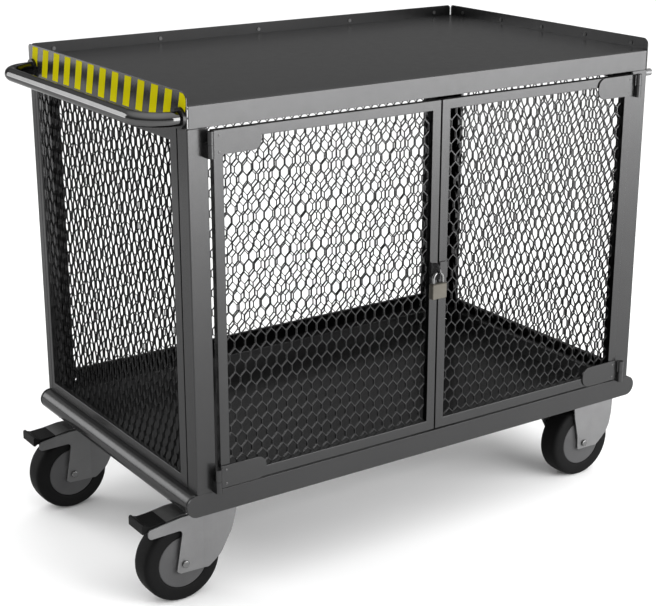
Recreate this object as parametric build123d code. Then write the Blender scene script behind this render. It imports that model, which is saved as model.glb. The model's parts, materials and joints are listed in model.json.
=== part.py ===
from build123d import *
import math
import os

os.makedirs("parts", exist_ok=True)

# ---------------------------------------------------------------------------
# Workshop trolley with a mesh cage. Millimetres. Floor at z = 0, +Z up,
# doors on the -Y side, push handle on the -X side.
# ---------------------------------------------------------------------------

# body
BODY_W = 1000.0            # across the outer faces of the posts
BODY_D = 600.0             # front face to rear face of the posts
Z_SILL = 181.0             # underside of the sills and of the deck
SILL_H = 40.0              # sill height and bumper tube diameter
SILL_T = 3.0
DECK_T = 2.5
TUBE_R = SILL_H / 2
TUBE_WALL = 2.5
Z_POST = Z_SILL + SILL_H   # foot of the posts
Z_TOP = 886.0              # worktop surface
APRON_H = 38.0
UPSTAND_H = 21.0
SHEET = 2.0
Z_APRON = Z_TOP - APRON_H
Z_UP = Z_TOP + UPSTAND_H
XO = BODY_W / 2
YO = BODY_D / 2

# posts
POST_X = 37.0
POST_Y = 32.0
REAR_POST_Y = 18.0
POST_T = 3.0

# fixed panels
BAR_T = 8.0
BORDER = 22.0
BORDER_BACK = 9.0          # rear upright of the left panel, beside the post
RIGHT_BORDER = 27.0        # front upright of the right panel
RIGHT_BORDER_BACK = 33.5   # its rear upright
REAR_BORDER = 33.5         # right upright of the rear panel
REAR_BORDER_L = 13.5       # left upright of the rear panel
MESH_T = 4.0

# mesh openings (upright hexagons in staggered rows)
CELL_X = 41.0
ROW_Z = 42.8
CELL_RISE = 18.8
STRAND = 2.8

# doors
DOOR_FRONT = -306.5        # front plane of the door frames
DOOR_T = 8.0
STILE = 18.0
DOOR_EDGE = 457.0          # hinge-side edge of each door from the middle
DOOR_GAP = 3.0
Z_DOOR0 = 228.0
Z_DOOR1 = 843.6

# door hinges
HINGE_X = 466.0
HINGE_Y = -314.0
KNUCKLE_R = 5.5
PIN_R = 3.0
RUN = 0.05                 # radial running clearance
STRAP_L = 90.0
STRAP_H = 40.0
STRAP_T = 3.0
HINGE_Z = (222.9, 801.0)   # foot of the lower and upper hinge barrels
KNUCKLE_H = 21.5

# lugs and padlock
LUG_T = 3.0
LUG_X = -16.2
LOCK_X = -15.9
LOCK_Y = -327.2
LOCK_Z = 538.5             # centre of the lug hole and of the shackle bar
LUG_HOLE_R = 4.2
BAR_R = 2.5
ARCH_R = 10.3
LOCK_W = 32.0
LOCK_D = 12.0
LOCK_H = 28.2
LOCK_TOP = 519.6

# push handle
HANDLE_X = -561.4
HANDLE_Z = 863.7
HANDLE_R = 12.0
HANDLE_WALL = 2.0
HANDLE_BEND = 52.0
HANDLE_Y = 282.0
FLANGE_R = 17.5
FLANGE_T = 5.0

# hazard stripes on the left end
STRIPE_PITCH = 46.6
STRIPE_W = 23.1
STRIPE_LEAN = 13.5         # shift over the height of the band
STRIPE_Z0 = 853.0
STRIPE_Z1 = 904.5
STRIPE_T = 0.3

# casters
WHEEL_R = 75.0
WHEEL_W = 47.0
HUB_R = 48.0
SHOULDER = 9.0
AXLE_R = 6.0
CASTER_Y = 225.0
SWIVEL_X = -450.0
SWIVEL_AXLE_X = -503.0
FIXED_AXLE_X = 434.0
FORK_IN = 27.0             # inner face of a fork leg from the wheel's mid plane
FORK_T = 3.0
BULGE = 3.0
KINGPIN_R = 8.0
PEDAL_X = -496.0
PEDAL_Z = 157.0
PEDAL_PIN_R = 3.5
PEDAL_PIN_Y = 29.0         # half length of the brake pivot, ending inside the fork legs
PAD_TIP_X = -581.5

# the model is centred on its own box in X and Y
X_MIN, X_MAX = PAD_TIP_X, XO + TUBE_R
LUG_TIP_Y = -335.2
Y_MIN, Y_MAX = LUG_TIP_Y, YO
SHIFT = Pos(-(X_MIN + X_MAX) / 2, -(Y_MIN + Y_MAX) / 2, 0)


# ------------------------------------------------------------------ helpers
def box(x0, x1, y0, y1, z0, z1):
    x0, x1 = sorted((x0, x1))
    y0, y1 = sorted((y0, y1))
    z0, z1 = sorted((z0, z1))
    return Pos((x0 + x1) / 2, (y0 + y1) / 2, (z0 + z1) / 2) * Box(x1 - x0, y1 - y0, z1 - z0)


def cyl_z(r, x, y, z0, z1):
    return Pos(x, y, (z0 + z1) / 2) * Cylinder(r, abs(z1 - z0))


def cyl_y(r, x, z, y0, y1):
    return Pos(x, (y0 + y1) / 2, z) * Rot(90, 0, 0) * Cylinder(r, abs(y1 - y0))


def cyl_x(r, y, z, x0, x1):
    return Pos((x0 + x1) / 2, y, z) * Rot(0, 90, 0) * Cylinder(r, abs(x1 - x0))


def face_xz(points, y):
    return make_face(Plane(origin=(0, y, 0), x_dir=(1, 0, 0), z_dir=(0, -1, 0)) * Polyline(*points, close=True))


def plate_xz(points, y0, y1, rounds=()):
    """A plate with an outline in X and Z; rounds is a list of (x, z, radius) near its corners."""
    sk = make_face(Polyline(*points, close=True))
    for x, z, r in rounds:
        v = min(sk.vertices(), key=lambda q: (q.X - x) ** 2 + (q.Y - z) ** 2)
        sk = fillet(v, r)
    y0, y1 = sorted((y0, y1))
    plane = Plane(origin=(0, y1, 0), x_dir=(1, 0, 0), z_dir=(0, -1, 0))
    return extrude(plane * sk, amount=y1 - y0)


def plate_yz(points, x0, x1, rounds=()):
    """A plate with an outline in Y and Z."""
    sk = make_face(Polyline(*points, close=True))
    for y, z, r in rounds:
        v = min(sk.vertices(), key=lambda q: (q.X - y) ** 2 + (q.Y - z) ** 2)
        sk = fillet(v, r)
    x0, x1 = sorted((x0, x1))
    plane = Plane(origin=(x0, 0, 0), x_dir=(0, 1, 0), z_dir=(1, 0, 0))
    return extrude(plane * sk, amount=x1 - x0)


def plate_xy(points, z0, z1, rounds=()):
    sk = make_face(Polyline(*points, close=True))
    for x, y, r in rounds:
        v = min(sk.vertices(), key=lambda q: (q.X - x) ** 2 + (q.Y - y) ** 2)
        sk = fillet(v, r)
    return extrude(Pos(0, 0, z0) * sk, amount=z1 - z0)


def mirror_x(shape):
    return mirror(shape, about=Plane.YZ)


def mirror_y(shape):
    return mirror(shape, about=Plane.XZ)


def save(name, *shapes):
    solids = []
    for s in shapes:
        solids += [SHIFT * q for q in s.solids()]
    out = solids[0] if len(solids) == 1 else Compound(solids)
    export_step(out, f"parts/{name}.step")


# ------------------------------------------------------------------- base
# flat floor with an upright strip welded on at each end, beside the bumper tubes
deck_strip = box(477.5, 479.5, -262, 262, Z_SILL + DECK_T, Z_POST - SHEET)
save("base_deck", box(-490, 490, -YO + SILL_T, YO - SILL_T, Z_SILL, Z_SILL + DECK_T), deck_strip, mirror_x(deck_strip))

sill_len = BODY_W + 2 * TUBE_R
sill_plate = extrude(
    Plane(origin=(0, -YO + SILL_T, Z_SILL + TUBE_R), x_dir=(1, 0, 0), z_dir=(0, -1, 0))
    * SlotOverall(sill_len, SILL_H), amount=SILL_T)
sill_flange = box(-478, 478, -YO + SILL_T, -YO + 38, Z_POST - SHEET, Z_POST)
save("front_sill", sill_plate, sill_flange)
save("rear_sill", mirror_y(sill_plate), mirror_y(sill_flange))

for side, sx in (("left", -1), ("right", 1)):
    tube = cyl_y(TUBE_R, sx * XO, Z_SILL + TUBE_R, -YO + SILL_T, YO - SILL_T)
    tube -= cyl_y(TUBE_R - TUBE_WALL, sx * XO, Z_SILL + TUBE_R, -YO, YO)
    save(f"{side}_bumper_tube", tube)

# ------------------------------------------------------------------- posts
front_post = plate_xy(
    [(-XO, -YO), (-XO + POST_X, -YO), (-XO + POST_X, -YO + POST_T), (-XO + POST_T, -YO + POST_T),
     (-XO + POST_T, -YO + POST_Y), (-XO, -YO + POST_Y)], Z_POST, Z_APRON, [(-XO, -YO, 2.0)])
rear_post = plate_xy(
    [(-XO, YO), (-XO, YO - REAR_POST_Y), (-XO + POST_T, YO - REAR_POST_Y), (-XO + POST_T, YO - POST_T),
     (-XO + POST_X, YO - POST_T), (-XO + POST_X, YO)], Z_POST, Z_APRON, [(-XO, YO, 2.0)])
save("front_left_post", front_post)
save("front_right_post", mirror_x(front_post))
save("rear_left_post", rear_post)
save("rear_right_post", mirror_x(rear_post))

# ----------------------------------------------------------------- worktop
top_plate = box(-XO + SHEET, XO - SHEET, -YO + SHEET, YO - SHEET, Z_TOP - SHEET, Z_TOP)
apron = box(-XO + 3.5, XO - 3.5, -YO, -YO + SHEET, Z_APRON, Z_TOP)
apron = fillet(apron.edges().filter_by(Axis.X).sort_by(lambda e: e.center().Z - e.center().Y)[-1], 1.6)
end_sheet = plate_yz([(-YO, Z_APRON), (YO, Z_APRON), (YO, Z_UP), (-YO, Z_UP)], -XO, -XO + SHEET,
                     [(-YO, Z_UP, 13.0), (YO, Z_UP, 7.0)])
rear_sheet = plate_xz([(-XO + 4.5, Z_APRON), (XO - 4.5, Z_APRON), (XO - 4.5, Z_UP), (-XO + 4.5, Z_UP)],
                      YO - SHEET, YO, [(-XO + 4.5, Z_UP, 7.0), (XO - 4.5, Z_UP, 7.0)])
save("worktop", top_plate, apron, end_sheet, mirror_x(end_sheet), rear_sheet)

heads = []
for y in (-256.0, -128.0, 0.0, 128.0, 256.0):
    for sx in (-1, 1):
        heads.append(cyl_x(3.6, y, Z_TOP + 8.0, sx * (XO - SHEET - 1.6), sx * (XO - SHEET)))
for x in (-450.0, -225.0, 0.0, 225.0, 450.0):
    heads.append(cyl_y(3.6, x, Z_TOP + 8.0, YO - SHEET - 1.6, YO - SHEET))
save("worktop_screws", *heads)


# ------------------------------------------------------------------- mesh
def cell(cu, cv):
    half = CELL_X / 2
    side = (ROW_Z - CELL_RISE) / 2
    slope = math.hypot(CELL_RISE, half)
    xs = half - STRAND / 2
    top = side + CELL_RISE - STRAND / 2 * slope / half
    ys = (half * (side + CELL_RISE) - STRAND / 2 * slope - CELL_RISE * xs) / half
    return [(cu + xs, cv - ys), (cu + xs, cv + ys), (cu, cv + top),
            (cu - xs, cv + ys), (cu - xs, cv - ys), (cu, cv - top)]


def clip(poly, u0, u1, v0, v1):
    for k, lim, sgn in ((0, u0, 1), (0, u1, -1), (1, v0, 1), (1, v1, -1)):
        kept = []
        for i, a in enumerate(poly):
            b = poly[(i + 1) % len(poly)]
            ia, ib = sgn * (a[k] - lim) >= 0, sgn * (b[k] - lim) >= 0
            if ia:
                kept.append(a)
            if ia != ib:
                t = (lim - a[k]) / (b[k] - a[k])
                kept.append((a[0] + t * (b[0] - a[0]), a[1] + t * (b[1] - a[1])))
        poly = kept
        if not poly:
            return []
    out = []
    for p in poly:
        if not out or math.dist(p, out[-1]) > 0.8:
            out.append(p)
    if len(out) > 1 and math.dist(out[0], out[-1]) <= 0.8:
        out.pop()
    return out


def area(p):
    return abs(sum(p[i][0] * p[(i + 1) % len(p)][1] - p[(i + 1) % len(p)][0] * p[i][1]
                   for i in range(len(p)))) / 2


def mesh_sheet(u0, u1, v0, v1, margin, pu, pv, to3, direction):
    """A flat sheet with staggered hexagonal openings; margin is the plain strip behind the frame."""
    outer = Wire.make_polygon([to3(*q) for q in ((u0, v0), (u1, v0), (u1, v1), (u0, v1))], close=True)
    a0, a1, b0, b1 = u0 + margin[0], u1 - margin[1], v0 + margin[2], v1 - margin[3]
    inner = []
    for j in range(math.floor((b0 - pv) / ROW_Z) - 1, math.ceil((b1 - pv) / ROW_Z) + 2):
        off = CELL_X / 2 if j % 2 else 0.0
        for i in range(math.floor((a0 - pu) / CELL_X) - 1, math.ceil((a1 - pu) / CELL_X) + 2):
            q = clip(cell(pu + i * CELL_X + off, pv + j * ROW_Z), a0, a1, b0, b1)
            if len(q) >= 3 and area(q) > 60:
                inner.append(Wire.make_polygon([to3(*p) for p in q], close=True))
    return extrude(Face(outer, inner), amount=MESH_T, dir=direction)


# ------------------------------------------------------------- fixed panels
PX0, PX1 = -XO + 1.0, -XO + 1.0 + BAR_T          # thickness of an end panel
PY0, PY1 = -264.0, YO - REAR_POST_Y - 0.5         # its two upright edges
PZ0, PZ1 = Z_POST, Z_APRON                        # its foot and head
WZ0, WZ1 = PZ0 + 20.0, PZ1 - 26.0                 # foot and head of its window


def end_panel(w0, w1):
    """Frame bars and mesh of an end panel, at the left end; its window runs from y = w0 to w1."""
    bars = [
        box(PX0, PX1, PY0, w0, PZ0, PZ1),
        box(PX0, PX1, w1, PY1, PZ0, PZ1),
        box(PX0, PX1, w0, w1, PZ0, WZ0),
        box(PX0, PX1, w0, w1, WZ1, PZ1),
    ]
    return bars, mesh_sheet(w0 - 8, w1 + 8, WZ0 - 8, WZ1 + 8, (8, 8, 8, 8), 0.0, 530.0,
                            lambda u, v: (PX1, u, v), (1, 0, 0))


end_bars, end_mesh = end_panel(PY0 + BORDER, PY1 - BORDER_BACK)
save("left_panel_frame", *end_bars)
save("left_panel_mesh", end_mesh)
end_bars, end_mesh = end_panel(PY0 + RIGHT_BORDER, PY1 - RIGHT_BORDER_BACK)
save("right_panel_frame", *[mirror_x(b) for b in end_bars])
save("right_panel_mesh", mirror_x(end_mesh))

RX = XO - POST_X
RY0, RY1 = YO - 9.0, YO - 1.0
RIN, LIN = RX - REAR_BORDER, -RX + REAR_BORDER_L
RZ0, RZ1 = Z_POST, Z_APRON
RWZ0, RWZ1 = Z_POST + 31.0, Z_APRON - 26.0
drain = [cyl_y(4.0, x, Z_POST + 9.0, RY0 - 1, RY1 + 1) for x in (-443.0, 443.0)]
save("rear_panel_frame", box(RIN, RX, RY0, RY1, RZ0, RZ1) - drain[1], box(-RX, LIN, RY0, RY1, RZ0, RZ1),
     box(LIN, RIN, RY0, RY1, RZ0, RWZ0) - drain[0], box(LIN, RIN, RY0, RY1, RWZ1, RZ1))
save("rear_panel_mesh", mesh_sheet(LIN - 8, RIN + 8, RWZ0 - 8, RWZ1 + 8, (8, 8, 8, 8), 0.0, 530.0,
                                   lambda u, v: (u, RY0 - MESH_T, v), (0, 1, 0)))


# ------------------------------------------------------------------- doors
DB = DOOR_FRONT + DOOR_T                           # back of the frame bars
DX0, DX1 = -DOOR_EDGE, -DOOR_GAP / 2
door_bars = [
    box(DX0, DX0 + STILE, DOOR_FRONT, DB, Z_DOOR0, Z_DOOR1),
    box(DX1 - STILE, DX1, DOOR_FRONT, DB, Z_DOOR0, Z_DOOR1),
    box(DX0 + STILE, DX1 - STILE, DOOR_FRONT, DB, Z_DOOR0, Z_DOOR0 + 19.0),
    box(DX0 + STILE, DX1 - STILE, DOOR_FRONT, DB, Z_DOOR1 - 17.5, Z_DOOR1),
]
door_mesh = mesh_sheet(DX0 + 8, DX1 - 8, Z_DOOR0 + 8, Z_DOOR1 - 8, (10, 10, 11, 9.5), -422.5, 411.0,
                       lambda u, v: (u, DB, v), (0, 1, 0))
save("left_door_frame", *door_bars)
save("left_door_mesh", door_mesh)
save("right_door_frame", *[mirror_x(b) for b in door_bars])
save("right_door_mesh", mirror_x(door_mesh))

straps, brackets = [], []
for foot, strap_z in zip(HINGE_Z, (Z_DOOR0, Z_DOOR1 - STRAP_H)):
    split = foot + KNUCKLE_H
    head = split + 0.5 + KNUCKLE_H
    x0 = -HINGE_X + 7.5
    plate = plate_xz([(x0, strap_z), (x0 + STRAP_L, strap_z), (x0 + STRAP_L, strap_z + STRAP_H), (x0, strap_z + STRAP_H)],
                     DOOR_FRONT - STRAP_T, DOOR_FRONT,
                     [(x0 + STRAP_L, strap_z, 17.0), (x0 + STRAP_L, strap_z + STRAP_H, 17.0)])
    z0, z1 = split + 0.5, min(head, strap_z + STRAP_H + 1.5)
    knuckle = cyl_z(KNUCKLE_R, -HINGE_X, HINGE_Y, z0, z1)
    neck = box(-HINGE_X, x0 + 1.0, HINGE_Y, DOOR_FRONT, z0, min(z1, strap_z + STRAP_H))
    strap = plate + neck + knuckle - cyl_z(PIN_R + RUN, -HINGE_X, HINGE_Y, z0 - 1, z1 + 1)
    straps.append(strap)
    seat = box(-HINGE_X - KNUCKLE_R, -HINGE_X + KNUCKLE_R, HINGE_Y, -YO, foot, split)
    seat += cyl_z(KNUCKLE_R, -HINGE_X, HINGE_Y, foot, split)
    brackets += [seat, cyl_z(PIN_R, -HINGE_X, HINGE_Y, split, z1 - 1.0)]
save("left_door_hinge_straps", *straps)
save("right_door_hinge_straps", *[mirror_x(s) for s in straps])
save("left_hinge_brackets", *brackets)
save("right_hinge_brackets", *[mirror_x(s) for s in brackets])

# a round-nosed lug for the padlock on the left door, and a flat keeper plate on the right door
lug = make_hull(
    (Pos(DOOR_FRONT - 0.0, LOCK_Z) * Rectangle(0.02, 26.0)).edges()
    + (Pos(LUG_TIP_Y + 15.5, LOCK_Z + 1.0) * Circle(15.5)).edges())
lug = extrude(Plane(origin=(LUG_X - LUG_T / 2, 0, 0), x_dir=(0, 1, 0), z_dir=(1, 0, 0)) * lug, amount=LUG_T)
lug -= box(-100, 100, DOOR_FRONT, DOOR_FRONT + 5, 0, 900)
lug -= cyl_x(LUG_HOLE_R, LOCK_Y, LOCK_Z, -100, 100)
save("left_door_lock_lug", lug)
lug2 = plate_xz([(2.5, LOCK_Z - 20), (19.0, LOCK_Z - 20), (19.0, LOCK_Z + 12), (2.5, LOCK_Z + 12)], DOOR_FRONT - 2.5, DOOR_FRONT,
                [(19.0, LOCK_Z - 20, 4.0), (19.0, LOCK_Z + 12, 4.0)])
save("right_door_lock_lug", lug2)

# ----------------------------------------------------------------- padlock
arch_z = LOCK_Z - ARCH_R
leg_foot = LOCK_TOP - 20.0
short_foot = LOCK_TOP - 7.0
arch = revolve(Plane(origin=(LOCK_X, LOCK_Y, arch_z), x_dir=(1, 0, 0), z_dir=(0, 0, 1)) * (Pos(ARCH_R, 0) * Circle(BAR_R)),
               Axis((LOCK_X, LOCK_Y, arch_z), (0, -1, 0)), 180)
shackle = arch + cyl_z(BAR_R, LOCK_X - ARCH_R, LOCK_Y, leg_foot, arch_z) + cyl_z(BAR_R, LOCK_X + ARCH_R, LOCK_Y, short_foot, arch_z)
save("padlock_shackle", shackle)
lock = box(LOCK_X - LOCK_W / 2, LOCK_X + LOCK_W / 2, LOCK_Y - LOCK_D / 2, LOCK_Y + LOCK_D / 2, LOCK_TOP - LOCK_H, LOCK_TOP)
lock = fillet(lock.edges().filter_by(Axis.Z), 2.0)
lock = chamfer(lock.faces().sort_by(Axis.Z)[-1].edges(), 1.5)
lock = chamfer(lock.faces().sort_by(Axis.Z)[0].edges(), 0.8)
for sx, foot in ((-1, leg_foot), (1, short_foot)):
    lock -= cyl_z(BAR_R + 0.08, LOCK_X + sx * ARCH_R, LOCK_Y, foot - 1.0, LOCK_TOP + 1)
lock -= cyl_z(4.5, LOCK_X - 4, LOCK_Y, LOCK_TOP - LOCK_H - 1, LOCK_TOP - LOCK_H + 0.8)
lock -= box(LOCK_X - 4.6, LOCK_X - 3.4, LOCK_Y - 3, LOCK_Y + 3, LOCK_TOP - LOCK_H - 1, LOCK_TOP - LOCK_H + 5)
save("padlock_body", lock)

# -------------------------------------------------------------- push handle
leg_x = -XO - FLANGE_T
bend_x = HANDLE_X + HANDLE_BEND
straight_y = HANDLE_Y - HANDLE_BEND
k = HANDLE_BEND * (1 - math.sqrt(0.5))
path = Wire([
    Edge.make_line((leg_x, HANDLE_Y, HANDLE_Z), (bend_x, HANDLE_Y, HANDLE_Z)),
    Edge.make_three_point_arc((bend_x, HANDLE_Y, HANDLE_Z), (HANDLE_X + k, HANDLE_Y - k, HANDLE_Z), (HANDLE_X, straight_y, HANDLE_Z)),
    Edge.make_line((HANDLE_X, straight_y, HANDLE_Z), (HANDLE_X, -straight_y, HANDLE_Z)),
    Edge.make_three_point_arc((HANDLE_X, -straight_y, HANDLE_Z), (HANDLE_X + k, -HANDLE_Y + k, HANDLE_Z), (bend_x, -HANDLE_Y, HANDLE_Z)),
    Edge.make_line((bend_x, -HANDLE_Y, HANDLE_Z), (leg_x, -HANDLE_Y, HANDLE_Z)),
])
start = Plane(origin=(leg_x, HANDLE_Y, HANDLE_Z), z_dir=(-1, 0, 0))
handle = sweep(start * Circle(HANDLE_R), path=path) - sweep(start * Circle(HANDLE_R - HANDLE_WALL), path=path)
save("push_handle", handle)
save("handle_flanges", *[cyl_x(FLANGE_R, s * HANDLE_Y, HANDLE_Z, -XO - FLANGE_T, -XO) for s in (1, -1)])

# ----------------------------------------------------------- hazard stripes
zone = plate_yz([(-YO + 1.0, STRIPE_Z0), (YO, STRIPE_Z0), (YO, STRIPE_Z1), (-YO + 1.0, STRIPE_Z1)],
                -XO - STRIPE_T, -XO, [(-YO + 1.0, STRIPE_Z1, 11.5), (YO, STRIPE_Z1, 5.0)])
for s in (1, -1):
    zone -= cyl_x(FLANGE_R + 0.5, s * HANDLE_Y, HANDLE_Z, -XO - 2, -XO + 2)
stripes = []
for i in range(-1, 14):
    t1 = 278.5 - i * STRIPE_PITCH           # rear top corner of the stripe
    bar = plate_yz([(t1 + STRIPE_LEAN, STRIPE_Z0), (t1 + STRIPE_LEAN - STRIPE_W, STRIPE_Z0), (t1 - STRIPE_W, STRIPE_Z1), (t1, STRIPE_Z1)],
                   -XO - STRIPE_T, -XO)
    part = bar & zone
    if part is not None:
        stripes += [q for q in part.solids() if q.volume > 8.0]
save("hazard_stripes", *stripes)

# ------------------------------------------------------------- end stops
save("right_end_stops", *[fillet(q.faces().sort_by(Axis.X)[-1].edges(), 1.5) for q in
                          [cyl_x(6.8, s * 292.5, Z_APRON - 7.0, XO, XO + 16.5) for s in (-1, 1)]])


# ----------------------------------------------------------------- casters
def bent_leg(outline, crease, end_x, top, rounds):
    """A pressed fork leg: flat, then swept outwards beyond an upright crease. Outline in X and Z about the mid plane y = 0."""
    y0, y1 = -FORK_IN, -FORK_IN - FORK_T
    lo = min(p[0] for p in outline) - 5
    curve = [(crease + d, BULGE * q) for d, q in ((0, 0.0), (8, 0.34), (16, 0.6), (26, 0.83), (38, 0.97), (48, 1.0))] + [(end_x + 5, BULGE)]
    plan = [(lo, y0)] + [(x, y0 - q) for x, q in curve] + [(x, y1 - q) for x, q in reversed(curve)] + [(lo, y1)]
    shell = plate_xy(plan, 0, top + 5)
    return shell & plate_xz(outline, -60, 0, rounds)


swivel_outline = [
    (-512.5, 58.5), (-457.0, 57.0), (-434.0, 76.0), (-409.5, 119.0), (-400.5, 152.0), (-400.0, 165.0),
    (-508.0, 165.0), (-572.0, 156.5), (-572.0, 139.0), (-505.5, 141.0), (-519.5, 64.0),
]
swivel_rounds = [(-512.5, 58.5, 5.0), (-519.5, 64.0, 3.0), (-457.0, 57.0, 9.0), (-434.0, 76.0, 30.0), (-409.5, 119.0, 30.0),
                 (-572.0, 156.5, 5.0), (-572.0, 139.0, 6.5), (-505.5, 141.0, 7.0), (-508.0, 165.0, 20.0)]
leg = bent_leg(swivel_outline, -466.0, -400.0, 165.0, swivel_rounds)
crown = box(-490, -403, -FORK_IN - BULGE, FORK_IN + BULGE, 160.0, 165.0)
crown_side = box(-490, -466, -FORK_IN, FORK_IN, 160.0, 165.0)
crown = (crown & box(-450, -400, -40, 40, 150, 170)) + crown_side + plate_xy(
    [(-466, -FORK_IN), (-450, -FORK_IN - BULGE), (-450, FORK_IN + BULGE), (-466, FORK_IN)], 160.0, 165.0)
race = cyl_z(37.0, SWIVEL_X, 0, 165.0, 170.5)
fork = leg + mirror_y(leg) + crown + race
fork -= cyl_z(KINGPIN_R + RUN, SWIVEL_X, 0, 140, 180)
fork -= cyl_y(AXLE_R, SWIVEL_AXLE_X, WHEEL_R, -50, 50)
fork -= cyl_y(PEDAL_PIN_R, PEDAL_X, PEDAL_Z, -PEDAL_PIN_Y, PEDAL_PIN_Y)


def hex_y(across, x, z, y0, y1):
    sk = RegularPolygon(across / 2, 6, major_radius=False)
    plane = Plane(origin=(x, max(y0, y1), z), x_dir=(1, 0, 0), z_dir=(0, -1, 0))
    return extrude(plane * sk, amount=abs(y1 - y0))


def hex_z(across, x, y, z0, z1):
    return extrude(Pos(x, y, z0) * RegularPolygon(across / 2, 6, major_radius=False), amount=z1 - z0)


def axle(x):
    out = FORK_IN + FORK_T
    pin = cyl_y(AXLE_R, x, WHEEL_R, -out, out)
    head = cyl_y(6.8, x, WHEEL_R, -out - 4.5, -out)
    head = fillet(head.faces().sort_by(Axis.Y)[0].edges(), 2.0)
    nut = hex_y(17.0, x, WHEEL_R, out, out + 7.0)
    return pin + head + nut


pedal_pin = cyl_y(PEDAL_PIN_R, PEDAL_X, PEDAL_Z, -PEDAL_PIN_Y, PEDAL_PIN_Y)

# brake pedal: a bridge plate with two cheeks on the pin, and a tread moulded over its free end
lever = plate_xz([(-574.0, 156.2), (-538.0, 158.6), (-506.0, 164.0), (-493.0, 164.0), (-493.0, 167.2), (-507.0, 167.2), (-538.0, 161.8), (-574.0, 159.4)], -24.0, 24.0)
cheek_sk = [(-524.0, 161.0), (-504.0, 151.6), (-492.0, 151.6), (-490.0, 157.0), (-493.0, 166.0), (-507.0, 166.0)]
for s in (-1, 1):
    lever += plate_xz(cheek_sk, s * 21.0, s * 24.0, [(-492.0, 151.6, 3.0), (-504.0, 151.6, 3.0)])
lever -= cyl_y(PEDAL_PIN_R + RUN, PEDAL_X, PEDAL_Z, -50, 50)
tread = plate_xz([(-536.0, 163.4), (-566.0, 161.6), (-573.0, 163.6), (-576.5, 167.0), (-580.0, 167.0), (PAD_TIP_X, 164.0),
                  (PAD_TIP_X, 150.5), (-578.0, 149.5), (-574.0, 152.5), (-536.0, 154.0)], -25.0, 25.0,
                 [(-573.0, 163.6, 4.0), (-576.5, 167.0, 1.2), (-580.0, 167.0, 1.5), (-578.0, 149.5, 1.5)])
tread -= lever


def tyre_ring(x):
    h = WHEEL_W / 2
    sk = make_face(Polyline((HUB_R, -h), (WHEEL_R, -h), (WHEEL_R, h), (HUB_R, h), close=True))
    for yy in (-h, h):
        v = min(sk.vertices(), key=lambda q: (q.X - WHEEL_R) ** 2 + (q.Y - yy) ** 2)
        sk = fillet(v, SHOULDER)
    return Pos(x, 0, WHEEL_R) * revolve(sk, Axis.Y, 360)


def hub_disc(x):
    pts = [(12.0, -24.6), (18.0, -24.6), (21.0, -22.6), (HUB_R - 1.2, -22.2), (HUB_R, -21.4),
           (HUB_R, 21.4), (HUB_R - 1.2, 22.2), (21.0, 22.6), (18.0, 24.6), (12.0, 24.6)]
    return Pos(x, 0, WHEEL_R) * revolve(make_face(Polyline(*pts, close=True)), Axis.Y, 360)


def bearing_sleeve(x):
    pts = [(AXLE_R + RUN, -26.6), (9.5, -26.6), (9.5, -25.0), (12.0, -25.0), (12.0, 25.0), (9.5, 25.0), (9.5, 26.6), (AXLE_R + RUN, 26.6)]
    return Pos(x, 0, WHEEL_R) * revolve(make_face(Polyline(*pts, close=True)), Axis.Y, 360)


fixed_outline = [
    (417.5, 63.5), (466.0, 63.5), (474.0, 70.0), (493.0, 89.5), (500.0, 105.0), (504.5, 127.0), (506.0, 158.0), (506.0, 177.0),
    (401.5, 177.0), (404.0, 157.5), (406.5, 134.0), (411.5, 113.0), (416.0, 92.0),
]
fixed_rounds = [(417.5, 63.5, 4.0), (466.0, 63.5, 8.0), (493.0, 89.5, 22.0), (500.0, 105.0, 25.0), (504.5, 127.0, 40.0),
                (406.5, 134.0, 40.0), (411.5, 113.0, 60.0), (416.0, 92.0, 30.0)]
fixed_leg = bent_leg(fixed_outline, 453.0, 506.0, 177.0, fixed_rounds)
# the inner leg is turned half round about the middle of the wheel, with a leaner free edge
far_outline = [
    (417.5, 63.5), (466.0, 63.5), (474.0, 70.0), (481.5, 89.5), (489.0, 107.0), (498.0, 123.5), (504.0, 142.0), (506.0, 160.0),
    (506.0, 177.0), (401.5, 177.0), (404.0, 157.5), (406.5, 134.0), (411.5, 113.0), (416.0, 92.0),
]
far_rounds = [(417.5, 63.5, 4.0), (466.0, 63.5, 8.0), (489.0, 107.0, 30.0), (498.0, 123.5, 30.0), (504.0, 142.0, 40.0),
              (406.5, 134.0, 40.0), (411.5, 113.0, 60.0), (416.0, 92.0, 30.0)]
far_leg = bent_leg(far_outline, 453.0, 506.0, 177.0, far_rounds)
far_leg = Pos(FIXED_AXLE_X, 0, 0) * Rot(0, 0, 180) * Pos(-FIXED_AXLE_X, 0, 0) * far_leg
fixed_top = box(FIXED_AXLE_X - 73, FIXED_AXLE_X + 73, -42, 42, 177.0, Z_SILL)
fixed_fork = fixed_leg + far_leg + fixed_top
fixed_fork -= cyl_y(AXLE_R, FIXED_AXLE_X, WHEEL_R, -50, 50)

for tag, sy in (("front", -1), ("rear", 1)):
    place = Pos(0, sy * CASTER_Y, 0)
    save(f"left_{tag}_caster_fork", place * fork)
    save(f"left_{tag}_caster_pins", place * axle(SWIVEL_AXLE_X), place * pedal_pin)
    save(f"left_{tag}_brake_lever", place * lever)
    save(f"left_{tag}_brake_tread", place * tread)
    save(f"right_{tag}_caster_fork", place * fixed_fork)
    for side, x in (("left", SWIVEL_AXLE_X), ("right", FIXED_AXLE_X)):
        save(f"{side}_{tag}_wheel_tyre", place * tyre_ring(x))
        save(f"{side}_{tag}_wheel_hub", place * hub_disc(x))
        save(f"{side}_{tag}_wheel_bearing", place * bearing_sleeve(x))

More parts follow.
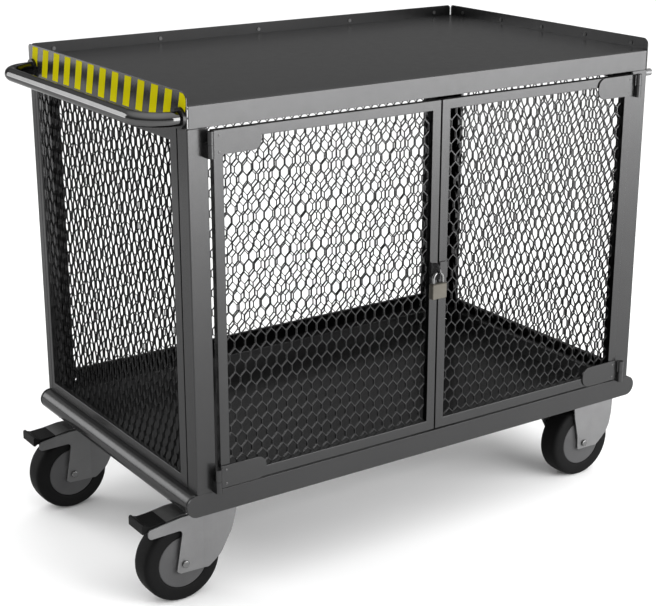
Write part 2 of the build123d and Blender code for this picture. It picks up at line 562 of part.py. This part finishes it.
rows = [Pos(0, s * CASTER_Y, 0) for s in (-1, 1)]
save("fixed_axle_bolts", *[p * axle(FIXED_AXLE_X) for p in rows])
plates = []
for p in rows:
    plates.append(p * (box(SWIVEL_X - 54, SWIVEL_X + 54, -42, 42, 177.0, Z_SILL)
                       + cyl_z(34.0, SWIVEL_X, 0, 171.0, 177.0)
                       - cyl_z(KINGPIN_R, SWIVEL_X, 0, 160, Z_SILL + 1)))
save("swivel_top_plates", *plates)
save("swivel_kingpins", *[p * (cyl_z(KINGPIN_R, SWIVEL_X, 0, 150.0, Z_SILL) + hex_z(24.0, SWIVEL_X, 0, 149.5, 159.5)) for p in rows])
bolts = []
for p in rows:
    for x, ax, ay in ((SWIVEL_X, 44.0, 33.5), (FIXED_AXLE_X, 52.0, 17.0)):
        for dx in (-ax, ax):
            for dy in (-ay, ay):
                bolts.append(p * hex_z(13.0, x + dx, dy, 171.5, 177.0))
save("caster_bolts", *bolts)
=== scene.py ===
import json
import math

import bmesh
import bpy
from mathutils import Matrix, Vector


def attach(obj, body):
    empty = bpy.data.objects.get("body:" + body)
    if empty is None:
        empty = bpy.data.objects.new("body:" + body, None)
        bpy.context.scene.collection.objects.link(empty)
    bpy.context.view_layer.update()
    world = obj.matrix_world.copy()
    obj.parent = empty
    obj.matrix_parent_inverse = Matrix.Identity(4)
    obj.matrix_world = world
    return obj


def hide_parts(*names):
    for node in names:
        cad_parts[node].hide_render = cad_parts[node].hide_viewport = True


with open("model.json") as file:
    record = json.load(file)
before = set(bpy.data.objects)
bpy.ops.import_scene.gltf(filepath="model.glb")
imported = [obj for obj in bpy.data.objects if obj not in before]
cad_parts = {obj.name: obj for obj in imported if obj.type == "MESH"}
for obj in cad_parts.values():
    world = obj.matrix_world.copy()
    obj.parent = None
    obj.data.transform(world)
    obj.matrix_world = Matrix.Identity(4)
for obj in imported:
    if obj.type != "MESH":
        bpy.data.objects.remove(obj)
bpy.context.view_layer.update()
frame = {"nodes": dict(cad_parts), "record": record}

NODES = frame["nodes"]
SCENE = bpy.context.scene
OFF_X, OFF_Y = 30.75, 17.6      # millimetres from the body's centre lines to the frame's origin


def P(x, y, z):
    """Millimetres about the body's centre lines to metres in the frame."""
    return Vector(((x + OFF_X) / 1000, (y + OFF_Y) / 1000, z / 1000))


# --------------------------------------------------------------------- materials
def new_material(name):
    m = bpy.data.materials.new(name)
    m.use_nodes = True
    nt = m.node_tree
    bsdf = next(n for n in nt.nodes if n.type == "BSDF_PRINCIPLED")
    return m, nt, bsdf


def noise(nt, scale, detail=3.0, rough=0.55, stretch=None, coord="Object"):
    tc = nt.nodes.new("ShaderNodeTexCoord")
    out = tc.outputs[coord]
    if stretch:
        mp = nt.nodes.new("ShaderNodeMapping")
        mp.inputs["Scale"].default_value = stretch
        nt.links.new(out, mp.inputs["Vector"])
        out = mp.outputs["Vector"]
    n = nt.nodes.new("ShaderNodeTexNoise")
    n.inputs["Scale"].default_value = scale
    n.inputs["Detail"].default_value = detail
    n.inputs["Roughness"].default_value = rough
    nt.links.new(out, n.inputs["Vector"])
    return n


def ramp(nt, source, stops):
    r = nt.nodes.new("ShaderNodeValToRGB")
    r.color_ramp.elements[0].position, r.color_ramp.elements[0].color = stops[0][0], (*stops[0][1], 1)
    r.color_ramp.elements[1].position, r.color_ramp.elements[1].color = stops[-1][0], (*stops[-1][1], 1)
    for pos, col in stops[1:-1]:
        e = r.color_ramp.elements.new(pos)
        e.color = (*col, 1)
    nt.links.new(source, r.inputs["Fac"])
    return r


def to_range(nt, source, lo, hi, a=0.3, b=0.7):
    r = nt.nodes.new("ShaderNodeMapRange")
    r.inputs["From Min"].default_value, r.inputs["From Max"].default_value = a, b
    r.inputs["To Min"].default_value, r.inputs["To Max"].default_value = lo, hi
    nt.links.new(source, r.inputs["Value"])
    return r


def bump(nt, bsdf, sources, distance):
    """Chains height textures: sources is [(socket, strength)]."""
    last = None
    for socket, strength in sources:
        b = nt.nodes.new("ShaderNodeBump")
        b.inputs["Strength"].default_value = strength
        b.inputs["Distance"].default_value = distance
        nt.links.new(socket, b.inputs["Height"])
        if last:
            nt.links.new(last.outputs["Normal"], b.inputs["Normal"])
        last = b
    nt.links.new(last.outputs["Normal"], bsdf.inputs["Normal"])


def grey(v, tint=(1, 1, 1)):
    return tuple(v * t for t in tint)


def paint(name, tone, rough=(0.21, 0.26), tint=(1.0, 1.0, 1.01), spread=0.03, peel=0.012, specular=0.2, metallic=0.75, edge=0.5, inward=False):
    """Satin powder coat with metal flake: a close mottle, a fine orange peel and uneven gloss. edge tones its sheen
    down at low angles.
    inward paints shade onto the faces that look to the front or the left, into the cage: they get a near-black colour
    with almost no sheen, standing in for the shade inside the cage."""
    m, nt, b = new_material(name)
    big = noise(nt, 6.0, 4.0)
    fine = noise(nt, 900.0, 2.0)
    r = ramp(nt, big.outputs["Fac"], [(0.3, grey(tone * (1 - spread), tint)), (0.7, grey(tone * (1 + spread), tint))])
    mix = nt.nodes.new("ShaderNodeMix")
    mix.data_type, mix.blend_type = "RGBA", "MULTIPLY"
    mix.inputs["Factor"].default_value = 0.12
    nt.links.new(r.outputs["Color"], mix.inputs["A"])
    speck = ramp(nt, fine.outputs["Fac"], [(0.30, (0.78, 0.78, 0.78)), (0.62, (1.12, 1.12, 1.12))])
    nt.links.new(speck.outputs["Color"], mix.inputs["B"])
    nt.links.new(mix.outputs["Result"], b.inputs["Base Color"])
    mid = noise(nt, 60.0, 4.0)
    nt.links.new(to_range(nt, mid.outputs["Fac"], *rough).outputs["Result"], b.inputs["Roughness"])
    peel_tex = noise(nt, 420.0, 2.0, 0.45)
    bump(nt, b, [(peel_tex.outputs["Fac"], peel)], 0.0004)
    b.inputs["Specular IOR Level"].default_value = specular
    b.inputs["Metallic"].default_value = metallic
    b.inputs["Specular Tint"].default_value = (edge, edge, edge, 1)
    # painted shade: faces whose normal points to the front or the left get a near-black colour and almost no specular
    if inward:
        xyz = nt.nodes.new("ShaderNodeSeparateXYZ")
        nt.links.new(nt.nodes.new("ShaderNodeTexCoord").outputs["Normal"], xyz.inputs["Vector"])
        low = nt.nodes.new("ShaderNodeMath")
        low.operation = "MINIMUM"
        nt.links.new(xyz.outputs["X"], low.inputs[0])
        nt.links.new(xyz.outputs["Y"], low.inputs[1])
        face = nt.nodes.new("ShaderNodeMapRange")
        for key, value in (("From Min", -0.7), ("From Max", -0.5), ("To Min", 0.0), ("To Max", 1.0)):
            face.inputs[key].default_value = value
        nt.links.new(low.outputs["Value"], face.inputs["Value"])
        coat = nt.nodes.new("ShaderNodeMix")
        coat.data_type = "RGBA"
        nt.links.new(face.outputs["Result"], coat.inputs["Factor"])
        # the near-black painted shade colour, 5 to 7 per cent of the paint tone
        primer = ramp(nt, big.outputs["Fac"], [(0.3, grey(tone * 0.05, tint)), (0.7, grey(tone * 0.07, tint))])
        nt.links.new(primer.outputs["Color"], coat.inputs["A"])
        nt.links.new(mix.outputs["Result"], coat.inputs["B"])
        nt.links.new(coat.outputs["Result"], b.inputs["Base Color"])
        nt.links.new(to_range(nt, face.outputs["Result"], 0.02, specular).outputs["Result"], b.inputs["Specular IOR Level"])
    return m


def metal(name, tone, rough=(0.22, 0.34), tint=(1, 1, 1), stretch=None, spread=0.06, scratch=0.05, metallic=1.0, grain=260.0, edge=1.0):
    m, nt, b = new_material(name)
    big = noise(nt, 22.0, 4.0)
    g = noise(nt, grain, 3.0, 0.6, stretch)
    r = ramp(nt, big.outputs["Fac"], [(0.3, grey(tone * (1 - spread), tint)), (0.7, grey(tone * (1 + spread), tint))])
    nt.links.new(r.outputs["Color"], b.inputs["Base Color"])
    nt.links.new(to_range(nt, g.outputs["Fac"], *rough).outputs["Result"], b.inputs["Roughness"])
    bump(nt, b, [(g.outputs["Fac"], scratch)], 0.0002)
    b.inputs["Metallic"].default_value = metallic
    b.inputs["Specular Tint"].default_value = (edge, edge, edge, 1)
    return m


def rubber(name, tone, rough=(0.55, 0.72), tint=(1, 1, 1.02), grain=380.0, strength=0.10, specular=0.3):
    m, nt, b = new_material(name)
    big = noise(nt, 14.0, 4.0)
    fine = noise(nt, grain, 4.0, 0.6)
    r = ramp(nt, big.outputs["Fac"], [(0.3, grey(tone * 0.88, tint)), (0.7, grey(tone * 1.14, tint))])
    nt.links.new(r.outputs["Color"], b.inputs["Base Color"])
    nt.links.new(to_range(nt, fine.outputs["Fac"], *rough).outputs["Result"], b.inputs["Roughness"])
    bump(nt, b, [(fine.outputs["Fac"], strength)], 0.0003)
    b.inputs["Specular IOR Level"].default_value = specular
    return m


MAT = {
    "frame_paint": paint("graphite_paint", 0.045),
    "mesh_paint": paint("graphite_mesh_paint", 0.040),
    "deck_paint": paint("graphite_deck_paint", 0.040),
    # a darker copy of the frame paint: painted shade for faces inside the cage
    "inner_paint": paint("graphite_inner_paint", 0.026),
    # frame paint with painted shade on the faces that look into the cage
    "inward_paint": paint("graphite_paint_over_painted_shade", 0.045, inward=True),
    # near-black, dull paint: painted shade for the door rings' inner edges
    "primer": paint("dark_painted_shade", 0.004, specular=0.03),
    # a darker copy of the mesh paint: painted shade for the left panel's mesh, on the shaded side
    "end_mesh_paint": paint("graphite_end_mesh_paint", 0.030),
    "dark_metal": paint("graphite_fitting_paint", 0.030, (0.22, 0.30)),
    "handle_chrome": metal("handle_chrome", 0.084, (0.07, 0.10), grain=500.0, scratch=0.006, edge=0.5),
    "stripe_yellow": paint("hazard_yellow", 0.46, (0.46, 0.56), tint=(1.0, 0.90, 0.003), spread=0.04, specular=0.004, metallic=0.0, edge=1.0),
    "zinc": metal("zinc_plate", 0.150, (0.36, 0.46), tint=(1.0, 1.0, 1.01), grain=180.0, metallic=0.8, edge=0.6),
    # a darker copy of the zinc: painted shade for the rear left fork, which sits in the trolley's shadow
    "dull_zinc": metal("shaded_zinc_plate", 0.100, (0.38, 0.48), tint=(1.0, 1.0, 1.01), grain=180.0, metallic=0.8, edge=0.6),
    "bright_steel": metal("bright_plated_steel", 0.40, (0.12, 0.22), grain=700.0),
    "dull_steel": metal("dull_plated_steel", 0.06, (0.30, 0.42), grain=700.0, metallic=0.6),
    "lever_grey": metal("pressed_lever_steel", 0.040, (0.40, 0.52), grain=200.0, metallic=0.3),
    "tread_black": rubber("brake_tread_black", 0.0035, (0.5, 0.65), grain=900.0, specular=0.07),
    "tyre_rubber": rubber("tyre_rubber", 0.005, (0.55, 0.70), specular=0.05),
    "hub_grey": rubber("hub_polyamide", 0.052, (0.46, 0.58), grain=600.0, strength=0.05, specular=0.1),
    "lock_brass": metal("satin_brass", 0.057, (0.30, 0.42), tint=(1.0, 0.91, 0.73), stretch=(14, 14, 1), grain=40.0, spread=0.12, metallic=0.5),
    "shackle_steel": metal("polished_shackle_steel", 0.16, (0.16, 0.26), grain=700.0),
}


def give(o, mat):
    o.data.materials.clear()
    o.data.materials.append(MAT[mat])


# --------------------------------------------------------------------- mesh helpers
def new_object(name, bm, mat, body, replaced=(), bevel=0.0, segments=2, angle=35.0, sharp=40.0):
    bmesh.ops.recalc_face_normals(bm, faces=bm.faces)
    me = bpy.data.meshes.new(name)
    bm.to_mesh(me)
    bm.free()
    o = bpy.data.objects.new(name, me)
    SCENE.collection.objects.link(o)
    me.polygons.foreach_set("use_smooth", [True] * len(me.polygons))
    if bevel == 0:
        me.set_sharp_from_angle(angle=math.radians(sharp))
    give(o, mat)
    soften(o, bevel, segments, angle)
    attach(o, body)
    if replaced:
        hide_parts(*replaced)
    return o


def soften(o, width, segments=2, angle=35.0, weld=False):
    if weld:
        w = o.modifiers.new("weld", "WELD")
        w.merge_threshold = 0.00002
    if width > 0:
        b = o.modifiers.new("edge_radius", "BEVEL")
        b.width, b.segments = width, segments
        b.limit_method, b.angle_limit = "ANGLE", math.radians(angle)
        b.harden_normals = False
        b.use_clamp_overlap = True
    n = o.modifiers.new("flat_faces", "WEIGHTED_NORMAL")
    n.keep_sharp, n.weight = True, 60
    return o


def extrude_loop(bm, loop, offset):
    """A closed prism from a flat loop of points, along an offset vector."""
    a = [bm.verts.new(p) for p in loop]
    b = [bm.verts.new(p + offset) for p in loop]
    bm.faces.new(a)
    bm.faces.new(list(reversed(b)))
    for i in range(len(a)):
        j = (i + 1) % len(a)
        bm.faces.new((a[j], a[i], b[i], b[j]))


def rounded(points, radii, n=6):
    """A closed outline with an arc at each corner that has a radius."""
    out = []
    for i, p in enumerate(points):
        r = radii.get(i, 0.0)
        if r <= 0:
            out.append(p)
            continue
        a, b = Vector(points[i - 1]), Vector(points[(i + 1) % len(points)])
        c = Vector(p)
        u, v = (a - c).normalized(), (b - c).normalized()
        half = math.acos(max(-1, min(1, u.dot(v)))) / 2
        t = r / math.tan(half)
        centre = c + (u + v).normalized() * (r / math.sin(half))
        s, e = c + u * t - centre, c + v * t - centre
        turn = math.atan2(s.x * e.y - s.y * e.x, s.dot(e))
        for k in range(n + 1):
            q = turn * k / n
            out.append((centre.x + s.x * math.cos(q) - s.y * math.sin(q), centre.y + s.x * math.sin(q) + s.y * math.cos(q)))
    return out


def lathe(bm, profile, centre, axis="y", n=96):
    """Turns a closed profile of (radius, offset) points about an axis through centre (millimetres)."""
    rings = []
    for k in range(n):
        q = 2 * math.pi * k / n
        row = []
        for r, h in profile:
            c, s = r * math.cos(q), r * math.sin(q)
            d = {"y": (c, h, s), "z": (c, s, h), "x": (h, c, s)}[axis]
            row.append(bm.verts.new(P(centre[0] + d[0], centre[1] + d[1], centre[2] + d[2])))
        rings.append(row)
    m = len(profile)
    for k in range(n):
        for i in range(m):
            j = (i + 1) % m
            bm.faces.new((rings[k][i], rings[k][j], rings[(k + 1) % n][j], rings[(k + 1) % n][i]))


def ring(bm, outer, inner, place, w0, w1):
    """A flat rectangular frame with mitred corners. outer and inner are (u0, u1, v0, v1)."""
    def rect(r):
        return [(r[0], r[2]), (r[1], r[2]), (r[1], r[3]), (r[0], r[3])]
    v = [[bm.verts.new(place(u, t, w)) for u, t in rect(r)] for w in (w0, w1) for r in (outer, inner)]
    of, inf, ob, ib = v
    for i in range(4):
        j = (i + 1) % 4
        bm.faces.new((of[i], of[j], inf[j], inf[i]))
        bm.faces.new((ob[j], ob[i], ib[i], ib[j]))
        bm.faces.new((of[j], of[i], ob[i], ob[j]))
        bm.faces.new((inf[i], inf[j], ib[j], ib[i]))


# --------------------------------------------------------------------- expanded mesh
PITCH, ROW, RISE, STRAND, GAUGE = 20.5, 21.4, 11.8, 1.4, 5.4
RIBBON = 3.0                    # depth of one strand
LEAN, LIP = 0.35, 0.4           # sideways lean of a bond, and half the thickness of its front edge


def lattice(bm, u0, u1, v0, v1, pu, pv, place, hand=1, pitch=PITCH):
    """A raised mesh sheet, cut square at its edges. Each strand is a ribbon on edge. It runs up the back of one bond, slants forward
    to the next bond on its right, and runs up the front of that one. hand is -1 where u grows to the left, seen from outside."""
    h, s, hw, g = pitch / 2, ROW - RISE, STRAND / 2, GAUGE / 2
    hv = hw * math.hypot(h, RISE) / h

    def prism(a, b):
        p, q = ([bm.verts.new(place(*c)) for c in loop] for loop in (a, b))
        bm.faces.new(p)
        bm.faces.new(list(reversed(q)))
        for i in range(4):
            j = (i + 1) % 4
            bm.faces.new((p[j], p[i], q[i], q[j]))

    def bond(u, lo, hi):
        lo, hi = max(lo, v0), min(hi, v1)
        if u - hw < u0 or u + hw > u1 or hi - lo < 0.8:
            return
        c = hand * LEAN
        prism(*([(u + c - hw, v, -g), (u + c + hw, v, -g), (u - c + LIP, v, g), (u - c - LIP, v, g)] for v in (lo, hi)))

    def slant(a, b, forward):
        """forward: the strand comes forward from a to b."""
        d = (b[0] - a[0], b[1] - a[1])
        q0, q1 = 0.0, 1.0
        for k, lo, hi in ((0, u0, u1), (1, v0, v1)):
            ta, tb = (lo - a[k]) / d[k], (hi - a[k]) / d[k]
            q0, q1 = max(q0, min(ta, tb)), min(q1, max(ta, tb))
        if q1 - q0 < 0.08:
            return
        ends = []
        for q in (q0, q1):
            u, v = a[0] + d[0] * q, a[1] + d[1] * q
            w = (GAUGE - RIBBON) * (q if forward else 1 - q) - g
            ends.append([(u, v - hv, w), (u, v + hv, w), (u, v + hv, w + RIBBON), (u, v - hv, w + RIBBON)])
        prism(*ends)

    for j in range(math.floor((v0 - pv) / ROW) - 1, math.ceil((v1 - pv) / ROW) + 2):
        off = 0.5 * (j % 2)
        for i in range(math.floor((u0 - pu) / pitch) - 2, math.ceil((u1 - pu) / pitch) + 3):
            u, v = pu + (i + 0.5 + off) * pitch, pv + j * ROW
            bond(u, v - s / 2, v + s / 2)
            for sgn in (1, -1):
                slant((u, v + s / 2), (u + sgn * h, v + s / 2 + RISE), sgn * hand > 0)


def mesh_panel(name, node, body, u0, u1, v0, v1, pu, pv, place, hand=1, pitch=PITCH, material="mesh_paint"):
    bm = bmesh.new()
    lattice(bm, u0, u1, v0, v1, pu, pv, place, hand, pitch)
    return new_object(name, bm, material, body, (node,))


# doors: millimetres, as built
DOOR_Y = -296.0
mesh_panel("left_door_expanded_mesh", "left_door_mesh", "left_door", -439.0, -18.9, 247.0, 826.1, -419.5, 411.0,
           lambda u, v, w: P(u, DOOR_Y - w, v))
mesh_panel("right_door_expanded_mesh", "right_door_mesh", "right_door", 19.5, 440.8, 247.0, 826.1, 50.5, 434.0,
           lambda u, v, w: P(u, DOOR_Y - w, v))
# the left panel's mesh uses the darker copy of the mesh paint, as painted shade
mesh_panel("left_panel_expanded_mesh", "left_panel_mesh", "cage", -250.0, 280.0, 233.0, 830.0, -8.25, 536.5,
           lambda u, v, w: P(-488.5 - w, u, v), -1, material="end_mesh_paint")
mesh_panel("right_panel_expanded_mesh", "right_panel_mesh", "cage", -245.0, 256.0, 233.0, 830.0, -8.25, 526.0,
           lambda u, v, w: P(488.5 + w, u, v))
mesh_panel("rear_panel_expanded_mesh", "rear_panel_mesh", "cage", -457.5, 437.5, 244.0, 830.0, 2.1, 527.0,
           lambda u, v, w: P(u, 288.5 + w, v), -1, 20.32)

# --------------------------------------------------------------------- frames
for side, s in (("left", -1), ("right", 1)):
    bm = bmesh.new()
    ring(bm, (s * 457.0, s * 1.5, 228.0, 843.6), (s * 439.0, s * 19.5, 247.0, 826.1), lambda u, v, w: P(u, w, v), -306.5, -294.5)
    door = new_object(f"{side}_door_ring", bm, "frame_paint", f"{side}_door", (f"{side}_door_frame",), 0.0009, 3)
    # the inner edges of each door ring, beside the gaps, get near-black painted shade
    door.data.materials.append(MAT["primer"])
    for f in door.data.polygons:
        if any(abs(f.center.x - P(s * x, 0, 0).x) < 0.0006 for x in (19.5, 439.0)):
            f.material_index = 1
    bm = bmesh.new()
    window = (-242.0, 272.5, 241.0, 822.0) if s < 0 else (-237.0, 248.0, 241.0, 822.0)
    ring(bm, (-264.0, 281.9, 221.0, 848.0), window, lambda u, v, w: P(w, u, v), s * 499.6, s * 491.0)
    # the right panel ring gets painted shade on its faces that look into the cage
    new_object(f"{side}_panel_ring", bm, "frame_paint" if s < 0 else "inward_paint", "cage", (f"{side}_panel_frame",), 0.0009, 3)

# rivet heads on the hinge straps
for side, s in (("left", -1), ("right", 1)):
    bm = bmesh.new()
    for z in (235.0, 260.0, 808.0, 835.6):
        lathe(bm, [(0.4, -309.4), (2.0, -309.4), (2.0, -309.8), (1.6, -310.0), (0.4, -310.0)], (s * 447.8, 0.0, z), "y", 20)
    new_object(f"{side}_strap_rivets", bm, "dull_steel", f"{side}_door", ())

# --------------------------------------------------------------------- worktop, one folded sheet and three raised edges
bm = bmesh.new()
fold = [(-300.0, 848.0)] + [(-297.0 + 3.0 * math.cos(math.radians(a)), 883.0 + 3.0 * math.sin(math.radians(a))) for a in range(180, 89, -15)]
fold += [(-288.0, 886.0), (-288.0, 884.0)] + [(-297.0 + 1.0 * math.cos(math.radians(a)), 883.0 + 1.0 * math.sin(math.radians(a))) for a in range(90, 181, 30)]
fold += [(-298.0, 848.0)]
extrude_loop(bm, [P(-496.5, y, z) for y, z in fold], Vector((0.993, 0, 0)))
extrude_loop(bm, [P(-498.0, y, z) for y, z in ((-288.0, 884.0), (-288.0, 886.0), (298.0, 886.0), (298.0, 884.0))], Vector((0.996, 0, 0)))
end = rounded([(-300.0, 848.0), (300.0, 848.0), (300.0, 907.0), (-300.0, 907.0)], {0: 1.2, 1: 1.2, 2: 7.0, 3: 13.0}, 10)
extrude_loop(bm, [P(-500.0, y, z) for y, z in end], Vector((0.002, 0, 0)))
extrude_loop(bm, [P(498.0, y, z) for y, z in end], Vector((0.002, 0, 0)))
back = rounded([(-495.5, 848.0), (495.5, 848.0), (495.5, 907.0), (-495.5, 907.0)], {2: 7.0, 3: 7.0}, 10)
extrude_loop(bm, [P(x, 298.0, z) for x, z in back], Vector((0, 0.002, 0)))
top = new_object("worktop_sheet", bm, "frame_paint", "cage", ("worktop",), 0.0005, 2, 50.0)
# the rear sheet's inner face, looking into the cage, gets the darker copy of the paint as painted shade
top.data.materials.append(MAT["inner_paint"])
for f in top.data.polygons:
    if f.normal.y < -0.9 and f.center.y > P(0, 290.0, 0).y:
        f.material_index = 1

# --------------------------------------------------------------------- push handle, a bent tube
path = [(-505.0, 282.0, 1.0, 0.0)]
path += [(-509.4 - 52.0 * math.sin(math.radians(a)), 230.0 + 52.0 * math.cos(math.radians(a)), math.cos(math.radians(a)), math.sin(math.radians(a))) for a in range(0, 91, 3)]
path += [(-561.4, 230.0 - 23.0 * k, 0.0, 1.0) for k in range(1, 21)]
path += [(-509.4 - 52.0 * math.cos(math.radians(a)), -230.0 - 52.0 * math.sin(math.radians(a)), -math.sin(math.radians(a)), math.cos(math.radians(a))) for a in range(3, 91, 3)]
path += [(-505.0, -282.0, -1.0, 0.0)]
bm = bmesh.new()
rows = []
for x, y, tx, ty in path:
    nx, ny = ty, -tx
    rows.append([bm.verts.new(P(x + 12.0 * math.cos(q) * nx, y + 12.0 * math.cos(q) * ny, 863.7 + 12.0 * math.sin(q)))
                 for q in (2 * math.pi * k / 64 for k in range(64))])
for a, b in zip(rows, rows[1:]):
    for k in range(64):
        bm.faces.new((a[k], a[(k + 1) % 64], b[(k + 1) % 64], b[k]))
bm.faces.new(rows[0])
bm.faces.new(list(reversed(rows[-1])))
new_object("push_handle_tube", bm, "handle_chrome", "cage", ("push_handle",))

# --------------------------------------------------------------------- bumper tubes, necked where they meet the sills
for side, s in (("left", -1), ("right", 1)):
    bm = bmesh.new()
    wall = [(17.5, -297.0), (18.2, -297.0), (18.2, -294.6), (19.0, -294.4), (19.8, -293.8), (20.0, -293.0)]
    wall += [(20.0, -293.0 + 97.666 * k) for k in range(1, 6)]
    wall += [(20.0, 293.0), (19.8, 293.8), (19.0, 294.4), (18.2, 294.6), (18.2, 297.0), (17.5, 297.0)]
    lathe(bm, wall, (s * 500.0, 0.0, 201.0))
    new_object(f"{side}_bumper_pipe", bm, "frame_paint", "cage", (f"{side}_bumper_tube",))

# --------------------------------------------------------------------- wheels
half_tyre = [(48.0, 0.0), (48.0, 20.6), (48.5, 21.9), (50.2, 22.8), (53.5, 23.3), (59.0, 23.5), (64.5, 23.4), (68.0, 22.8), (70.8, 21.4), (72.8, 19.4),
             (74.0, 16.8), (74.6, 13.0), (74.9, 7.0), (75.0, 0.0)]
tyre = half_tyre + [(r, -h) for r, h in reversed(half_tyre[1:-1])]
half_hub = [(12.0, 0.0), (12.0, 24.2), (12.4, 24.6), (17.2, 24.6), (18.4, 24.1), (20.6, 22.9), (22.0, 22.6), (34.0, 22.5), (45.2, 22.2), (46.9, 21.9), (47.7, 21.2), (48.0, 20.2), (48.0, 0.0)]
hub = half_hub + [(r, -h) for r, h in reversed(half_hub[1:-1])]
for side, x in (("left", -503.0), ("right", 434.0)):
    for tag, y in (("front", -225.0), ("rear", 225.0)):
        bm = bmesh.new()
        lathe(bm, tyre, (x, y, 75.0))
        new_object(f"{side}_{tag}_tyre_tread", bm, "tyre_rubber", f"{side}_{tag}_wheel", (f"{side}_{tag}_wheel_tyre",))
        bm = bmesh.new()
        lathe(bm, hub, (x, y, 75.0))
        new_object(f"{side}_{tag}_hub_disc", bm, "hub_grey", f"{side}_{tag}_wheel", (f"{side}_{tag}_wheel_hub",))

# --------------------------------------------------------------------- finishes of the other nodes
SLOT = {s["node"]: s["material_slot"] for s in frame["record"]["subparts"]}
for name, o in NODES.items():
    give(o, SLOT[name] if SLOT[name] in MAT else "frame_paint")
give(NODES["base_deck"], "deck_paint")
give(NODES["worktop_screws"], "dull_steel")
# painted shade: the rear left fork gets the darker copy of the zinc
give(NODES["left_rear_caster_fork"], "dull_zinc")
# painted shade on the faces of the rear frame and rear right post that look into the cage
for name in ("rear_panel_frame", "rear_right_post"):
    give(NODES[name], "inward_paint")
for name in ("padlock_shackle", "fixed_axle_bolts", "left_front_caster_pins", "left_rear_caster_pins"):
    give(NODES[name], "shackle_steel")
for name, width in (
    ("front_left_post", 1.0), ("front_right_post", 1.0), ("rear_left_post", 1.0), ("rear_right_post", 1.0),
    ("front_sill", 0.6), ("rear_sill", 0.6), ("base_deck", 0.6), ("rear_panel_frame", 0.8),
    ("left_door_hinge_straps", 0.6), ("right_door_hinge_straps", 0.6), ("left_hinge_brackets", 0.6), ("right_hinge_brackets", 0.6),
    ("left_door_lock_lug", 0.5), ("right_door_lock_lug", 0.5), ("handle_flanges", 0.8),
    ("left_front_caster_fork", 0.7), ("left_rear_caster_fork", 0.7), ("right_front_caster_fork", 0.7), ("right_rear_caster_fork", 0.7),
    ("left_front_brake_lever", 0.6), ("left_rear_brake_lever", 0.6), ("left_front_brake_tread", 0.8), ("left_rear_brake_tread", 0.8),
    ("caster_bolts", 0.5), ("swivel_top_plates", 0.5), ("fixed_axle_bolts", 0.4), ("left_front_caster_pins", 0.4), ("left_rear_caster_pins", 0.4),
):
    soften(NODES[name], width / 1000, 2, 40.0, weld=True)

# --------------------------------------------------------------------- floor, light, camera
bm = bmesh.new()
bmesh.ops.create_grid(bm, x_segments=1, y_segments=1, size=20.0)
me = bpy.data.meshes.new("studio_floor")
bm.to_mesh(me)
bm.free()
floor = bpy.data.objects.new("studio_floor", me)
SCENE.collection.objects.link(floor)
fm, fnt, fb = new_material("pale_floor")
fn = noise(fnt, 1.5, 3.0)
fnt.links.new(ramp(fnt, fn.outputs["Fac"], [(0.3, (0.87, 0.87, 0.87)), (0.7, (0.89, 0.89, 0.89))]).outputs["Color"], fb.inputs["Base Color"])
fb.inputs["Roughness"].default_value = 0.9
fb.inputs["Specular IOR Level"].default_value = 0.1
floor.data.materials.append(fm)

world = bpy.data.worlds.new("studio")
SCENE.world = world
world.use_nodes = True
wt = world.node_tree
wb = next(n for n in wt.nodes if n.type == "BACKGROUND")
wb.inputs["Strength"].default_value = 1.0
# a soft studio sky: brighter overhead
tc = wt.nodes.new("ShaderNodeTexCoord")
dot = wt.nodes.new("ShaderNodeVectorMath")
dot.operation = "DOT_PRODUCT"
dot.inputs[1].default_value = (0.0, 0.0, 1.0)
wt.links.new(tc.outputs["Generated"], dot.inputs[0])
sky = ramp(wt, to_range(wt, dot.outputs["Value"], 0.0, 1.0, -1.0, 1.0).outputs["Result"],
           [(0.0, (0.25, 0.25, 0.25)), (0.65, (0.30, 0.30, 0.30)), (0.8, (1.3, 1.3, 1.3)), (1.0, (1.9, 1.9, 1.9))])
wt.links.new(sky.outputs["Color"], wb.inputs["Color"])


def area(name, place, target, sx, sy, power, color=(1, 1, 1)):
    d = bpy.data.lights.new(name, "AREA")
    d.shape, d.size, d.size_y, d.energy, d.color = "RECTANGLE", sx, sy, power, color
    o = bpy.data.objects.new(name, d)
    SCENE.collection.objects.link(o)
    o.location = place
    o.rotation_mode = "QUATERNION"
    o.rotation_quaternion = (Vector(target) - Vector(place)).to_track_quat("-Z", "Y")
    o.visible_camera = False
    return o


area("front_right_panel", (2.15, -2.9, 1.05), (2.15, 0.0, 1.05), 4.2, 2.0, 241.0)
area("back_left_softbox", (-1.95, 2.65, 1.25), (-0.5, 0.0, 0.85), 1.3, 1.7, 43.0)

cam_data = bpy.data.cameras.new("camera")
cam = bpy.data.objects.new("camera", cam_data)
SCENE.collection.objects.link(cam)
SCENE.camera = cam
cam_data.sensor_fit, cam_data.sensor_width = "HORIZONTAL", 36.0
cam_data.lens = 36.0 * 1522.6 / 656.0
cam_data.clip_start, cam_data.clip_end = 0.05, 100.0
yaw, pitch = math.radians(34.095), math.radians(18.314)
look = Vector((math.sin(yaw) * math.cos(pitch), math.cos(yaw) * math.cos(pitch), -math.sin(pitch)))
cam.location = P(-1626.9, -2357.3, 1337.4)
cam.rotation_mode = "QUATERNION"
cam.rotation_quaternion = look.to_track_quat("-Z", "Y")

SCENE.view_settings.view_transform = "Standard"
SCENE.view_settings.look = "None"

bpy.context.view_layer.update()
